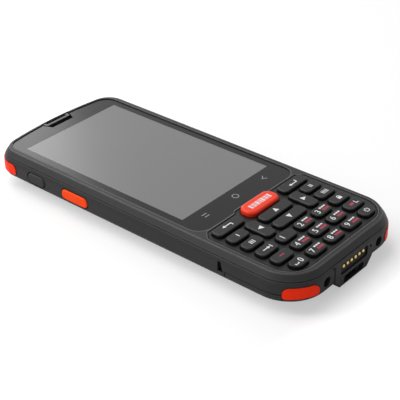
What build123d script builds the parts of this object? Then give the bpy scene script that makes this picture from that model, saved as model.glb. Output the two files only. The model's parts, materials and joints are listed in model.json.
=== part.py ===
from build123d import *
import math
import os

# Rugged handheld barcode terminal, in millimetres.
# Frame: +X is the user's right, +Y points to the earpiece end, +Z comes out of the screen.
# The origin lies under the middle of the terminal, on the surface that its back rests on.

# --- Outer body ---
body_width = 68.0
body_top_y = 80.35
body_end_y = -79.65
top_corner_r = 10.5
end_corner_r = 16.0
top_bow_r = 175.0
rim_z = 15.9
top_slope_run = 2.45
top_slope_rise = 3.5
back_slope_run = 8.0
back_slope_rise = 5.8
waist_fillet_r = 5.0
belly_fillet_r = 2.0
back_fillet_r = 3.0
rim_fillet_r = 0.35

# --- Shell walls and the seam between the two shells ---
split_z = 13.3
seam_height = 0.2
seam_depth = 0.25
side_wall = 2.6
floor_wall = 1.8
slope_wall = 2.0
shell_gap = 0.15
seat_gap = 0.1

# --- Levels inside the body ---
board_seat_z = 9.6
board_thickness = 1.0
septum_thickness = 1.0
deck_z = 12.2

# --- Touch glass and display ---
glass_top_z = rim_z - 0.4
glass_thickness = 1.1
glass_side_rim = 4.7
glass_top_rim = 3.5
glass_width = body_width - 2 * glass_side_rim
glass_top_y = body_top_y - glass_top_rim
glass_end_y = -32.0
glass_top_corner_r = 6.0
glass_end_corner_r = 6.0
glass_gap = 0.15
scan_dip = 1.1
lcd_side_border = 2.0
lcd_top_border = 6.6
lcd_end_border = 7.65
lcd_width = glass_width - 2 * lcd_side_border
lcd_top_y = glass_top_y - lcd_top_border
lcd_end_y = glass_end_y + lcd_end_border
lcd_thickness = 1.9
lcd_gap = 0.3

# --- Earpiece ---
notch_mouth = 16.0
notch_floor = 12.0
notch_depth = 4.75
notch_past = 0.6
ear_pocket_depth = 1.6
ear_trim_gap = 2.6
ear_trim_end_gap = 0.6
ear_trim_top_z = 15.6
ear_slot_length = 11.5
ear_slot_width = 1.2
ear_slot_rim = 0.15
ear_hole_pitch = 3.2
ear_hole_length = 2.4
ear_hole_width = 0.8
receiver_length = 12.0
receiver_width = 5.0
receiver_thickness = 1.9
receiver_roof = 0.8
receiver_inset = 0.4

# --- Keypad frame ---
frame_side_rim = 4.4
frame_end_rim = 4.8
frame_to_glass = 1.0
frame_width = body_width - 2 * frame_side_rim
frame_top_y = glass_end_y - frame_to_glass
frame_end_y = body_end_y + frame_end_rim
frame_shoulder = 3.0
frame_corner_r = 10.4
frame_top_z = 15.7
frame_thickness = 1.4
frame_gap = 0.2
frame_ledge = 0.6
scan_hump_width = 18.4
scan_hump_foot = 21.2
scan_hump_height = 1.2

# --- Keys ---
key_top_z = 17.1
key_travel = 0.5
key_press_room = 0.1
key_height = 4.9
key_corner_r = 1.6
key_edge = 0.3
key_gap = 0.25
key_flange = 0.3
key_rows = 6
first_row_margin = 4.15
last_row_margin = 4.35
key_side_margin = 2.4
digit_pitch = 11.05
digit_width = 8.7
column_gap = 2.5
cursor_key_width = 17.0
side_cursor_width = 5.5
side_cursor_gap = 2.15
corner_key_inset = 1.8
corner_key_r = 3.0
corner_key_flat = 0.6
scan_key_length = 18.2
scan_key_width = 7.8
scan_key_gap = 3.3
scan_key_margin = 3.45
scan_key_corner_r = 3.5
scan_key_rise = 0.8
scan_key_edge_r = 1.1
membrane_thickness = 0.5
first_row_y = frame_top_y - first_row_margin
row_pitch = (first_row_y - frame_end_y - last_row_margin) / (key_rows - 1)
scan_key_y = frame_top_y - scan_key_margin
keypad_board_gap = 0.6
keypad_board_margin = 1.2

# --- Side buttons: a trigger on each side and a volume rocker on the left ---
trigger_length = 14.6
trigger_height = 4.5
trigger_y = 30.3
trigger_z = 9.05
trigger_proud = 0.5
trigger_travel = 0.6
rocker_length = 10.2
rocker_height = 4.7
rocker_to_bumper = 7.35
rocker_z = 9.0
rocker_proud = 0.35
rocker_lift = 0.4
button_gap = 0.35
button_edge = 0.45
ear_reach = 0.8
ear_height = 4.2
ear_thickness = 0.7
ear_play = 0.05
switch_depth = 1.9
switch_length = 4.5
switch_height = 1.3
switch_room = 0.3

# --- Corner bumpers ---
bumper_low_z = 6.7
bumper_high_z = 11.35
bumper_proud = 0.25
bumper_depth = 1.2
bumper_gap = 0.12
bumper_low_r = 1.0
bumper_side_r = 2.2
bumper_wrap_r = 3.2
end_bumper_reach = 8.25
end_bumper_wrap = 2.9
top_bumper_reach = 15.05
top_bumper_wrap = 3.5
end_bumper_side_y = body_end_y + end_bumper_reach
end_bumper_end_x = body_width / 2 - end_corner_r + end_bumper_wrap
top_bumper_side_y = body_top_y - top_bumper_reach
top_bumper_end_x = body_width / 2 - top_corner_r - top_bumper_wrap
rocker_y = top_bumper_side_y - rocker_to_bumper - rocker_length / 2

# --- Connector end ---
boss_proud = 0.4
boss_width = 24.0
boss_foot_width = 17.4
boss_high_z = 13.1
boss_knee_z = 6.0
boss_low_z = 2.5
boss_depth = 8.0
contact_window_width = 17.0
contact_window_height = 4.7
contact_window_z = 9.9
contact_window_r = 1.0
contact_recess = 0.5
contact_block_depth = 3.5
contact_count = 6
contact_pitch = 2.5
contact_r = 0.7
contact_z = 10.5
contact_proud = 0.25
usb_slot_width = 13.0
usb_slot_height = 3.2
usb_slot_z = 4.6
usb_slot_depth = 1.6
usb_width = 8.9
usb_height = 3.0
usb_length = 7.0
usb_shell = 0.25
usb_tongue_width = 6.7
usb_tongue_thickness = 0.7
usb_tongue_length = 5.2
mic_hole_r = 0.65
mic_x = 10.5
mic_z = 10.7
mic_width = 3.2
mic_height = 2.0
mic_depth = 1.0
lanyard_inset = 1.4
lanyard_x = body_width / 2 - end_corner_r - lanyard_inset
lanyard_z = 9.25
lanyard_r = 2.0
lanyard_depth = 6.0
lanyard_wall = 1.0

# --- Cradle-lock pockets: two slots on each side ---
pocket_to_end = 38.4
pocket_y = body_end_y + pocket_to_end
pocket_half = 2.45
pocket_foot = 2.5
pocket_head = 1.4
pocket_low_z = 7.5
pocket_high_z = 11.8
pocket_depth = 1.5

# --- Battery, its bay and its cover ---
battery_side = 9.0
battery_length = 62.0
battery_to_end = 18.0
battery_width = body_width - 2 * battery_side
battery_end_y = body_end_y + battery_to_end
battery_top_y = battery_end_y + battery_length
battery_thickness = 6.4
battery_edge_r = 1.5
battery_gap = 0.3
cover_to_end = 8.5
cover_tongue = 12.0
cover_end_y = body_end_y + cover_to_end
cover_top_y = battery_top_y + cover_tongue
cover_step_z = 4.0
wing_length = 24.0
wing_top_y = cover_end_y + wing_length
wing_z = 8.0
cover_gap = 0.25
tray_y = cover_top_y + 2.0
cover_screw_side = 14.0
cover_screw_x = body_width / 2 - cover_screw_side
cover_screw_y = (battery_top_y + cover_top_y) / 2
cover_screw_head_r = 3.4
cover_screw_head_thickness = 1.1
cover_screw_recess = 1.2
cover_screw_r = 1.45
cover_screw_length = 5.0
cover_screw_play = 0.1
coin_slot_width = 1.1
coin_slot_depth = 0.5

# --- Scan window and engine at the earpiece end ---
window_width = 23.0
window_height = 6.0
window_z = 8.7
window_thickness = 1.3
window_recess = 0.8
window_lip = 0.9
window_corner_r = 1.4
engine_width = 21.0
engine_length = 12.0
engine_height = 6.0
engine_low_z = 4.9
engine_end_gap = 2.0
engine_aperture_width = 15.0
engine_aperture_height = 3.6
engine_aperture_depth = 1.0

# --- Camera, flash and loudspeaker in the back ---
camera_x = -13.0
camera_y = 51.0
camera_lens_r = 4.5
camera_lens_thickness = 0.8
camera_recess = 0.2
camera_bore_r = 3.3
camera_size = 8.5
camera_height = 4.4
flash_x = -3.5
flash_y = 51.0
flash_r = 2.2
flash_flange_r = 3.0
flash_flange_thickness = 0.8
speaker_x = 14.0
speaker_y = 49.0
speaker_width = 15.0
speaker_length = 11.0
speaker_height = 3.6
grille_slots = 5
grille_pitch = 1.9
grille_slot_width = 0.9
grille_slot_length = 9.0
motor_x = 14.0
motor_y = 30.0
motor_r = 5.0
motor_thickness = 2.8

# --- Shield cans on the main board ---
can_x = 12.0
can_y = 3.0
can_step = 29.0
can_width = 20.0
can_length = 24.0
can_height = 1.2

# --- Case screws ---
top_screw_side = 13.5
top_screw_to_end = 6.8
top_screw_x = body_width / 2 - top_screw_side
top_screw_y = body_top_y - top_screw_to_end
top_screw_seat_z = 4.6
mid_screw_side = 5.6
mid_screw_to_glass_end = 3.05
mid_screw_x = body_width / 2 - mid_screw_side
mid_screw_y = glass_end_y + mid_screw_to_glass_end
mid_screw_seat_z = 5.6
screw_head_r = 1.9
screw_head_thickness = 1.3
screw_r = 1.0
screw_gap = 0.05
screw_bite = 0.9
drive_length = 3.0
drive_width = 0.8
board_hole_gap = 0.5
post_r = 2.6


def block(x0, x1, y0, y1, z0, z1):
    """Box between two corners."""
    return Pos((x0 + x1) / 2, (y0 + y1) / 2, (z0 + z1) / 2) * Box(x1 - x0, y1 - y0, z1 - z0)


def rod(x, y, z0, z1, radius):
    """Cylinder along Z."""
    return Pos(x, y, (z0 + z1) / 2) * Cylinder(radius, z1 - z0)


def raised(sketch, z0, z1):
    """Sketch in plan, extruded between two levels."""
    return extrude(Pos(0, 0, z0) * sketch, z1 - z0)


def along_x(sketch, x0, x1):
    """Sketch drawn with Y to the right and Z up, extruded between two X positions."""
    plane = Plane(origin=(x0, 0, 0), x_dir=(0, 1, 0), z_dir=(1, 0, 0))
    return extrude(plane * sketch, x1 - x0)


def along_y(sketch, y0, y1):
    """Sketch drawn with X to the right and Z up, extruded between two Y positions."""
    plane = Plane(origin=(0, y1, 0), x_dir=(1, 0, 0), z_dir=(0, -1, 0))
    return extrude(plane * sketch, y1 - y0)


def level_edges(solid, z):
    """Edges of a solid that lie flat at one level."""
    return solid.edges().filter_by(lambda e: abs(e.bounding_box().min.Z - z) < 1e-3
                                   and abs(e.bounding_box().max.Z - z) < 1e-3)


def mirrored(solid):
    """The same solid on the other side of the terminal."""
    return mirror(solid, about=Plane.YZ)


def outline(inset):
    """Plan outline of the body, moved inwards."""
    width = body_width - 2 * inset
    length = body_top_y - body_end_y - 2 * inset
    plate = Pos(0, (body_top_y + body_end_y) / 2) * Rectangle(width, length)
    plate = bowed(plate, inset)
    plate = fillet(plate.vertices().group_by(Axis.Y)[-1], top_corner_r - inset)
    return fillet(plate.vertices().group_by(Axis.Y)[0], end_corner_r - inset)


def bowed(plate, inset):
    """Plan shape whose top edge is cut to the body's slight bow, moved inwards."""
    return plate & Pos(0, body_top_y - top_bow_r) * Circle(top_bow_r - inset)


def inner_slope(run, rise, side, face, wall):
    """Run and rise of a sloped edge whose side, face and slope move inwards."""
    slant = math.hypot(run, rise)
    new_run = run - side + wall * slant / rise - run * face / rise
    new_rise = rise - rise * side / run + wall * slant / run - face
    return new_run, new_rise


def body_form(inset=0.0):
    """The body's outer form with its sloped top and back edges, moved inwards."""
    low, high = inset, rim_z - inset
    form = raised(outline(inset), low, high)
    run, rise = inner_slope(top_slope_run, top_slope_rise, inset, inset, inset)
    top = form.faces().sort_by(Axis.Z)[-1]
    form = chamfer(top.edges(), run, rise, reference=top)
    waist = level_edges(form, high - rise)
    run, rise = inner_slope(back_slope_run, back_slope_rise, inset, inset, inset)
    form = fillet(waist, waist_fillet_r - inset)
    back = form.faces().sort_by(Axis.Z)[0]
    form = chamfer(back.edges(), run, rise, reference=back)
    form = fillet(level_edges(form, low + rise), belly_fillet_r)
    return form


def outer_body():
    """The whole closed body, with its rim and back edges rounded."""
    form = body_form()
    form = fillet(level_edges(form, 0.0), back_fillet_r)
    return fillet(level_edges(form, rim_z), rim_fillet_r)


def core_form(side, floor, wall):
    """Room inside the walls, open to any level, with the back edge's slope."""
    form = raised(outline(side), floor, rim_z)
    run, rise = inner_slope(back_slope_run, back_slope_rise, side, floor, wall)
    back = form.faces().sort_by(Axis.Z)[0]
    return chamfer(back.edges(), run, rise, reference=back)


def surface_x(z):
    """Half width of the sloped top edge at a level."""
    return body_width / 2 - top_slope_run * (z - (rim_z - top_slope_rise)) / top_slope_rise


def glass_outline(grow):
    """Touch glass in plan: rounded, with a notch for the earpiece and a dip for the scan key."""
    half = glass_width / 2
    plate = Pos(0, (glass_top_y + glass_end_y) / 2) * Rectangle(glass_width, glass_top_y - glass_end_y)
    plate = bowed(plate, glass_top_rim)
    plate = fillet(plate.vertices().group_by(Axis.Y)[-1], glass_top_corner_r)
    plate = fillet(plate.vertices().group_by(Axis.Y)[0], glass_end_corner_r)
    low = glass_end_y
    dip = Polygon((-scan_hump_foot / 2, low - half), (-scan_hump_foot / 2, low),
                  (-scan_hump_width / 2, low + scan_dip), (scan_hump_width / 2, low + scan_dip),
                  (scan_hump_foot / 2, low), (scan_hump_foot / 2, low - half), align=None)
    plate = plate - dip - ear_notch()
    return offset(plate, grow) if grow else plate


def ear_notch():
    """Trapezoid notch at the glass's top edge, running on past the edge."""
    y1 = glass_top_y
    y0 = y1 - notch_depth
    spread = (notch_mouth - notch_floor) / 2 / notch_depth
    wide = notch_mouth / 2 + spread * notch_past
    return Polygon((-notch_floor / 2, y0), (notch_floor / 2, y0), (wide, y1 + notch_past),
                   (-wide, y1 + notch_past), align=None)


def frame_outline(grow):
    """Keypad frame in plan: sloped shoulders, a hump round the scan key, round lower corners."""
    half = frame_width / 2
    hump_y = frame_top_y + scan_hump_height
    plate = Polygon((-half, frame_end_y), (half, frame_end_y), (half, frame_top_y - frame_shoulder),
                    (half - frame_shoulder, frame_top_y), (scan_hump_foot / 2, frame_top_y),
                    (scan_hump_width / 2, hump_y), (-scan_hump_width / 2, hump_y),
                    (-scan_hump_foot / 2, frame_top_y), (-half + frame_shoulder, frame_top_y),
                    (-half, frame_top_y - frame_shoulder), align=None)
    plate = fillet(plate.vertices().group_by(Axis.Y)[0], frame_corner_r)
    return offset(plate, grow) if grow else plate


def key_layout():
    """Every key but the scan key: name, centre, width, height and outer lower corner side."""
    rows = [first_row_y - row_pitch * n for n in range(key_rows)]
    side_end = frame_width / 2 - key_side_margin
    outer_start = digit_pitch + digit_width / 2 + column_gap
    wide_start = scan_key_length / 2 + scan_key_gap
    cursor_x = (cursor_key_width + side_cursor_width) / 2 + side_cursor_gap
    keys = []
    for left, right, row, start, end, corner in (
            ("key_back", "key_return", 0, wide_start, side_end, 0),
            ("key_function_1", "key_function_2", 1, outer_start, side_end, 0),
            ("key_function_3", "key_function_4", 2, outer_start, side_end, 0),
            ("key_tab", "key_lock", 3, outer_start, side_end, 0),
            ("key_dash", "key_call", 4, outer_start, side_end, 0),
            ("key_0", "key_power", 5, outer_start, side_end - corner_key_inset, 1)):
        x, width = (start + end) / 2, end - start
        keys.append((left, -x, rows[row], width, key_height, -corner))
        keys.append((right, x, rows[row], width, key_height, corner))
    for name, x in (("key_left", -cursor_x), ("key_right", cursor_x)):
        keys.append((name, x, (rows[1] + rows[2]) / 2, side_cursor_width, row_pitch + key_height, 0))
    for name, row in (("key_up", 1), ("key_down", 2)):
        keys.append((name, 0, rows[row], cursor_key_width, key_height, 0))
    for n in range(9):
        x = digit_pitch * (n % 3 - 1)
        keys.append((f"key_{n + 1}", x, rows[3 + n // 3], digit_width, key_height, 0))
    return keys


def key_plan(width, height, corner_side, grow):
    """Plan of one key about its own centre, with one large corner where the frame is round."""
    plan = Rectangle(width + 2 * grow, height + 2 * grow)
    radius = key_corner_r + grow
    if corner_side:
        low = plan.vertices().group_by(Axis.Y)[0].sort_by(Axis.X)
        large_r = min(corner_key_r, width - key_corner_r - corner_key_flat)
        plan = fillet(low[0 if corner_side < 0 else -1], large_r + grow)
        rest = [v for v in plan.vertices() if abs(abs(v.X) - width / 2 - grow) < 1e-3
                and abs(abs(v.Y) - height / 2 - grow) < 1e-3]
        return fillet(rest, radius)
    return fillet(plan.vertices(), radius)


def scan_key_plan(grow):
    """Plan of the scan key about its own centre."""
    return RectangleRounded(scan_key_length + 2 * grow, scan_key_width + 2 * grow,
                            scan_key_corner_r + grow)


def key_levels():
    """Bottom of a key and top of its flange, at rest."""
    low = membrane_level() + key_travel + key_press_room
    return low, frame_top_z - frame_thickness


def key(x, y, width, height, corner_side):
    """One keycap with the flange that holds it under the frame."""
    low, flange_top = key_levels()
    cap = raised(key_plan(width, height, corner_side, 0), low, key_top_z)
    cap = chamfer(cap.faces().sort_by(Axis.Z)[-1].edges(), key_edge)
    flange = raised(key_plan(width, height, corner_side, key_flange), low, flange_top)
    return Pos(x, y, 0) * (cap + flange)


def scan_key():
    """The raised scan key in the middle of the top row."""
    low, flange_top = key_levels()
    cap = raised(scan_key_plan(0), low, key_top_z + scan_key_rise)
    cap = fillet(cap.faces().sort_by(Axis.Z)[-1].edges(), scan_key_edge_r)
    flange = raised(scan_key_plan(key_flange), low, flange_top)
    return Pos(0, scan_key_y, 0) * (cap + flange)


def keypad_frame():
    """Plate round the keys, with a hole for each."""
    plate = raised(frame_outline(0), frame_top_z - frame_thickness, frame_top_z)
    holes = [Pos(x, y, 0) * raised(key_plan(w, h, side, key_gap), deck_z, rim_z)
             for _, x, y, w, h, side in key_layout()]
    holes.append(Pos(0, scan_key_y, 0) * raised(scan_key_plan(key_gap), deck_z, rim_z))
    return plate - holes


def membrane_level():
    """Top of the membrane, which the pressed keys just clear."""
    return deck_z + membrane_thickness


def keypad_window():
    """Opening under the keypad frame that the keys and the membrane lie in."""
    window = offset(frame_outline(0), -frame_ledge)
    hump_y = scan_key_y + scan_key_width / 2 + key_flange + 2 * key_press_room
    reach = scan_key_length / 2 + key_flange + 2 * key_press_room
    return window + Pos(0, (hump_y + scan_key_y) / 2) * Rectangle(2 * reach, hump_y - scan_key_y)


def keypad_membrane():
    """Silicone sheet with the tactile domes, on the keypad board."""
    return raised(offset(keypad_window(), -2 * key_press_room), deck_z, membrane_level())


def keypad_board():
    """Circuit board under the membrane, held up against the front shell's deck."""
    high_y = frame_top_y + scan_hump_height + keypad_board_margin
    room = outline(side_wall + keypad_board_gap)
    low_y = body_end_y + side_wall + keypad_board_gap + contact_block_depth / 2
    area = Pos(0, (high_y + low_y) / 2) * Rectangle(body_width, high_y - low_y)
    board = raised(room & area, deck_z - board_thickness, deck_z)
    holes = [rod(x, y, 0, rim_z, post_r + screw_gap) for x, y, _ in screw_places()]
    return board - holes - lanyard_tunnels(keypad_board_gap)


def screw_places():
    """Case screws: position and the level that each head bears on."""
    return [(side * x, y, seat) for side in (-1, 1)
            for x, y, seat in ((top_screw_x, top_screw_y, top_screw_seat_z),
                               (mid_screw_x, mid_screw_y, mid_screw_seat_z))]


def case_screws():
    """Four screws from the back into the front shell."""
    screws = []
    for x, y, seat in screw_places():
        screw = rod(x, y, seat - screw_head_thickness, seat, screw_head_r)
        screw += rod(x, y, seat, deck_z + screw_bite, screw_r)
        drive = block(x - drive_length / 2, x + drive_length / 2, y - drive_width / 2,
                      y + drive_width / 2, seat - screw_head_thickness,
                      seat - screw_head_thickness / 2)
        screws.append(screw - drive - Pos(x, y) * Rot(0, 0, 90) * Pos(-x, -y) * drive)
    return Compound(children=screws)


def touch_glass():
    """Cover glass over the display."""
    return raised(glass_outline(0), glass_top_z - glass_thickness, glass_top_z)


def lcd_module():
    """Display bonded to the underside of the glass."""
    top = glass_top_z - glass_thickness
    half = lcd_width / 2
    return block(-half, half, lcd_end_y, lcd_top_y, top - lcd_thickness, top)


def front_shell():
    """Front housing: rim, ledge for the glass, seat for the keypad frame, tongue into the back."""
    shell = outer_body() & block(-body_width, body_width, -body_width * 2, body_width * 2,
                                 split_z, rim_z + 1)
    shell += raised(outline(side_wall + shell_gap), deck_z, split_z)
    shell -= seam_groove()
    shell -= raised(glass_outline(glass_gap), glass_top_z - glass_thickness, rim_z + 1)
    shell -= raised(ear_notch(), glass_top_z - ear_pocket_depth, rim_z + 1)
    half = lcd_width / 2 + lcd_gap
    shell -= block(-half, half, lcd_end_y - lcd_gap, lcd_top_y + lcd_gap, 0, rim_z)
    shell -= raised(frame_outline(frame_gap), frame_top_z - frame_thickness, rim_z + 1)
    shell -= raised(keypad_window(), 0, rim_z)
    shell -= receiver_room(seat_gap)
    for n in (-1, 0, 1):
        place = Pos(n * ear_hole_pitch, glass_top_y - notch_depth + ear_trim_gap / 2)
        shell -= raised(place * SlotOverall(ear_hole_length, ear_hole_width), deck_z, rim_z)
    shell -= contact_relief()
    for x, y, _ in screw_places():
        shell += rod(x, y, board_seat_z + board_thickness, deck_z, post_r)
        shell -= rod(x, y, 0, deck_z + screw_bite + screw_gap, screw_r + screw_gap)
    return shell


def seam_groove():
    """Fine groove round the outside where the two shells meet."""
    inner = body_width / 2 - surface_x(split_z) + seam_depth
    ring = outline(-1) - outline(inner)
    return raised(ring, split_z - seam_height / 2, split_z + seam_height / 2)


def contact_relief():
    """Room in the front shell's tongue for the end of the contact block."""
    half = contact_window_width / 2 + shell_gap
    y1 = body_end_y - boss_proud + contact_recess + contact_block_depth + shell_gap
    return block(-half, half, body_end_y + side_wall - 0.5, y1, deck_z - 1, split_z)


def receiver_room(grow):
    """Space that the earpiece speaker takes under the pocket floor."""
    top = glass_top_z - ear_pocket_depth - receiver_roof
    y1 = glass_top_y - (notch_depth - receiver_width) / 2 - receiver_inset
    half = receiver_length / 2 + grow
    return block(-half, half, y1 - receiver_width - grow, y1 + grow, top - receiver_thickness, top)


def earpiece_trim():
    """Grey bar in the notch, with the slot that lets the sound out beside it."""
    y1 = glass_top_y + notch_past - glass_gap
    y0 = glass_top_y - notch_depth + ear_trim_gap
    spread = (notch_mouth - notch_floor) / 2 / notch_depth
    half_low = notch_floor / 2 + spread * ear_trim_gap - ear_trim_end_gap
    half_high = notch_mouth / 2 - ear_trim_end_gap
    bar = Polygon((-half_low, y0), (half_low, y0), (half_high, y1), (-half_high, y1), align=None)
    solid = raised(bar, glass_top_z - ear_pocket_depth, ear_trim_top_z)
    slot_y = y1 - ear_slot_rim - ear_slot_width / 2
    slot = Pos(0, slot_y) * SlotOverall(ear_slot_length, ear_slot_width)
    return solid - raised(slot, 0, rim_z)


def cover_zone(grow):
    """Part of the body that the battery cover replaces: the back, and wings up both sides."""
    wide = body_width
    zone = block(-wide, wide, cover_end_y - grow, cover_top_y + grow, -1, cover_step_z + grow)
    return zone + block(-wide, wide, cover_end_y - grow, wing_top_y + grow, -1, wing_z + grow)


def battery_cover():
    """Back cover over the battery, with a seat for each captive screw."""
    cover = (outer_body() & cover_zone(0)) - core_form(side_wall, floor_wall, slope_wall)
    for side in (-1, 1):
        x = side * cover_screw_x
        cover -= rod(x, cover_screw_y, -1, cover_screw_recess, cover_screw_head_r + cover_gap)
        cover -= rod(x, cover_screw_y, -1, rim_z, cover_screw_r + cover_gap)
    return cover


def cover_screw(side):
    """Captive coin-slot screw of the battery cover."""
    x, y = side * cover_screw_x, cover_screw_y
    low = cover_screw_recess - cover_screw_head_thickness
    screw = rod(x, y, low, cover_screw_recess, cover_screw_head_r)
    screw += rod(x, y, cover_screw_recess, cover_screw_recess + cover_screw_length, cover_screw_r)
    reach = cover_screw_head_r + 1
    return screw - block(x - reach, x + reach, y - coin_slot_width / 2, y + coin_slot_width / 2,
                         low - 1, low + coin_slot_depth)


def battery_pack():
    """Battery, pushed up against the roof of its bay."""
    top = board_seat_z - septum_thickness
    half = battery_width / 2
    pack = block(-half, half, battery_end_y, battery_top_y, top - battery_thickness, top)
    return fillet(pack.edges().filter_by(Axis.Y), battery_edge_r)


def pill(length, height, grow):
    """Pill outline of a side button about its own centre."""
    return SlotOverall(length + 2 * grow, height + 2 * grow)


def side_button(side, length, height, y, z, proud, drop):
    """Pill-shaped side button with an ear at each end behind the wall."""
    wall_x = body_width / 2 - side_wall
    inner = wall_x - ear_thickness - drop
    cap = along_x(Pos(y, z) * pill(length, height, 0), wall_x - drop, body_width / 2 + proud)
    cap = chamfer(cap.faces().sort_by(Axis.X)[-1].edges(), button_edge)
    reach = length / 2 + ear_reach
    ears = block(inner, wall_x - drop, y - reach, y + reach, z - ear_height / 2, z + ear_height / 2)
    button = cap + ears
    return button if side > 0 else mirrored(button)


def trigger(side):
    """Scan trigger on one side."""
    return side_button(side, trigger_length, trigger_height, trigger_y, trigger_z, trigger_proud,
                       ear_play)


def volume_rocker():
    """Volume rocker on the left side."""
    return side_button(-1, rocker_length, rocker_height, rocker_y, rocker_z, rocker_proud,
                       rocker_lift)


def side_switches():
    """Tact switches on the main board behind the side buttons."""
    face = body_width / 2 - side_wall - ear_thickness - ear_play - trigger_travel - switch_room
    low = board_seat_z + board_thickness
    switches = []
    for side, y in ((-1, trigger_y), (1, trigger_y), (-1, rocker_y - rocker_length / 4),
                    (-1, rocker_y + rocker_length / 4)):
        length = switch_length if y == trigger_y else switch_length / 2
        switch = block(face - switch_depth, face, y - length / 2, y + length / 2, low,
                       low + switch_height)
        switches.append(switch if side > 0 else mirrored(switch))
    return Compound(children=switches)


def main_board():
    """Main board on the septum over the battery, cut back beside the side buttons."""
    plan = outline(side_wall + keypad_board_gap)
    low_y = body_end_y + side_wall + contact_block_depth / 2
    high_y = body_top_y - side_wall - engine_end_gap - engine_length - keypad_board_gap
    plan &= Pos(0, (low_y + high_y) / 2) * Rectangle(body_width, high_y - low_y)
    board = raised(plan, board_seat_z, board_seat_z + board_thickness)
    notch_x = body_width / 2 - side_wall - ear_thickness - rocker_lift - trigger_travel - switch_room
    for side in (-1, 1):
        for y, length in ((trigger_y, trigger_length), (rocker_y, rocker_length)):
            reach = length / 2 + ear_reach + switch_room
            x0, x1 = sorted((side * notch_x, side * body_width))
            board -= block(x0, x1, y - reach, y + reach, 0, rim_z)
    for x, y, _ in screw_places():
        board -= rod(x, y, 0, rim_z, screw_r + board_hole_gap)
    cans = board_seat_z + board_thickness
    board -= lanyard_tunnels(keypad_board_gap)
    for x, y in ((-can_x, can_y + can_step), (can_x, can_y)):
        board += block(x - can_width / 2, x + can_width / 2, y - can_length / 2,
                       y + can_length / 2, cans, cans + can_height)
    return board


def bumper_end(start, toward, high_r, grow):
    """Wall view of a bumper from its end onwards, rounder at its upper corner."""
    far = body_width
    low, high = bumper_low_z - grow, bumper_high_z + grow
    shape = Pos(start + toward * far / 2, (low + high) / 2) * Rectangle(far, high - low)
    shape = fillet(shape.vertices().group_by(Axis.Y)[-1], high_r + grow)
    return fillet(shape.vertices().group_by(Axis.Y)[0], bumper_low_r + grow)


def corner_of(skin, side_y, end_x, grow):
    """Piece of a skin that one bumper fills, with rounded ends, on the +X side."""
    toward = 1 if side_y > 0 else -1
    far = body_width
    beside = bumper_end(side_y - toward * grow, toward, bumper_side_r, grow)
    behind = bumper_end(end_x - grow, 1, bumper_wrap_r, grow)
    piece = skin & along_x(beside, 0, far)
    return piece & along_y(behind, min(0, toward * 2 * far), max(0, toward * 2 * far))


def bumper_places():
    """Bumper names with their zone's start on the side and on the end, and their side."""
    return [("bumper_top_right", top_bumper_side_y, top_bumper_end_x, 1),
            ("bumper_top_left", top_bumper_side_y, top_bumper_end_x, -1),
            ("bumper_end_right", end_bumper_side_y, end_bumper_end_x, 1),
            ("bumper_end_left", end_bumper_side_y, end_bumper_end_x, -1)]


def bumper(side_y, end_x, side):
    """Soft corner bumper, a little proud of the body."""
    skin = body_form(-bumper_proud) - body_form(bumper_depth)
    solid = corner_of(skin, side_y, end_x, 0)
    return solid if side > 0 else mirrored(solid)


def bumper_seats():
    """What the four bumpers' seats take out of the rear shell."""
    skin = body_form(-2 * bumper_proud) - body_form(bumper_depth + bumper_gap)
    seats = None
    for _, side_y, end_x, side in bumper_places():
        seat = corner_of(skin, side_y, end_x, bumper_gap)
        seat = seat if side > 0 else mirrored(seat)
        seats = seat if seats is None else seats + seat
    return seats


def connector_boss():
    """Raised frame at the connector end, round the contacts and the socket."""
    shape = Polygon((-boss_width / 2, boss_high_z), (-boss_width / 2, boss_knee_z),
                    (-boss_foot_width / 2, boss_low_z), (boss_foot_width / 2, boss_low_z),
                    (boss_width / 2, boss_knee_z), (boss_width / 2, boss_high_z), align=None)
    boss = along_y(shape, body_end_y - boss_proud, body_end_y + boss_depth)
    front = boss.faces().sort_by(Axis.Y)[0]
    return fillet(front.edges(), boss_proud * 0.8)


def contact_window(grow, y1):
    """Opening round the charging contacts, from the end face to a depth."""
    shape = Pos(0, contact_window_z) * RectangleRounded(contact_window_width + 2 * grow,
                                                        contact_window_height + 2 * grow,
                                                        contact_window_r)
    return along_y(shape, body_end_y - boss_proud - 1, y1)


def contact_face_y():
    """Face of the contact block."""
    return body_end_y - boss_proud + contact_recess


def contact_block():
    """Insulating block that carries the charging contacts."""
    y0 = contact_face_y()
    shape = Pos(0, contact_window_z) * RectangleRounded(contact_window_width - 2 * seat_gap,
                                                        contact_window_height - 2 * seat_gap,
                                                        contact_window_r)
    solid = along_y(shape, y0, y0 + contact_block_depth)
    for x in contact_places():
        solid -= contact_pin(x, contact_r, 0.0)
    return solid


def contact_places():
    """X positions of the charging contacts."""
    return [contact_pitch * (n - (contact_count - 1) / 2) for n in range(contact_count)]


def contact_pin(x, radius, proud):
    """One pin along Y, set into the block."""
    y0 = contact_face_y() - proud
    y1 = contact_face_y() + contact_block_depth / 2
    return along_y(Pos(x, contact_z) * Circle(radius), y0, y1)


def charging_contacts():
    """The row of domed, gold-plated contacts."""
    pins = []
    for x in contact_places():
        pin = contact_pin(x, contact_r, contact_proud)
        pins.append(chamfer(pin.faces().sort_by(Axis.Y)[0].edges(), contact_proud * 0.9))
    return Compound(children=pins)


def lanyard_tunnels(grow):
    """Solid walls round the two strap passages, up to the deck."""
    reach = lanyard_r + lanyard_wall + grow
    tunnel = block(lanyard_x - reach, lanyard_x + reach, body_end_y + lanyard_wall,
                   body_end_y + lanyard_depth + lanyard_wall + grow, board_seat_z - septum_thickness,
                   deck_z)
    return tunnel + mirrored(tunnel)


def usb_face_y():
    """Front of the socket, at the bottom of its slot."""
    return body_end_y - boss_proud + usb_slot_depth


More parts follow.
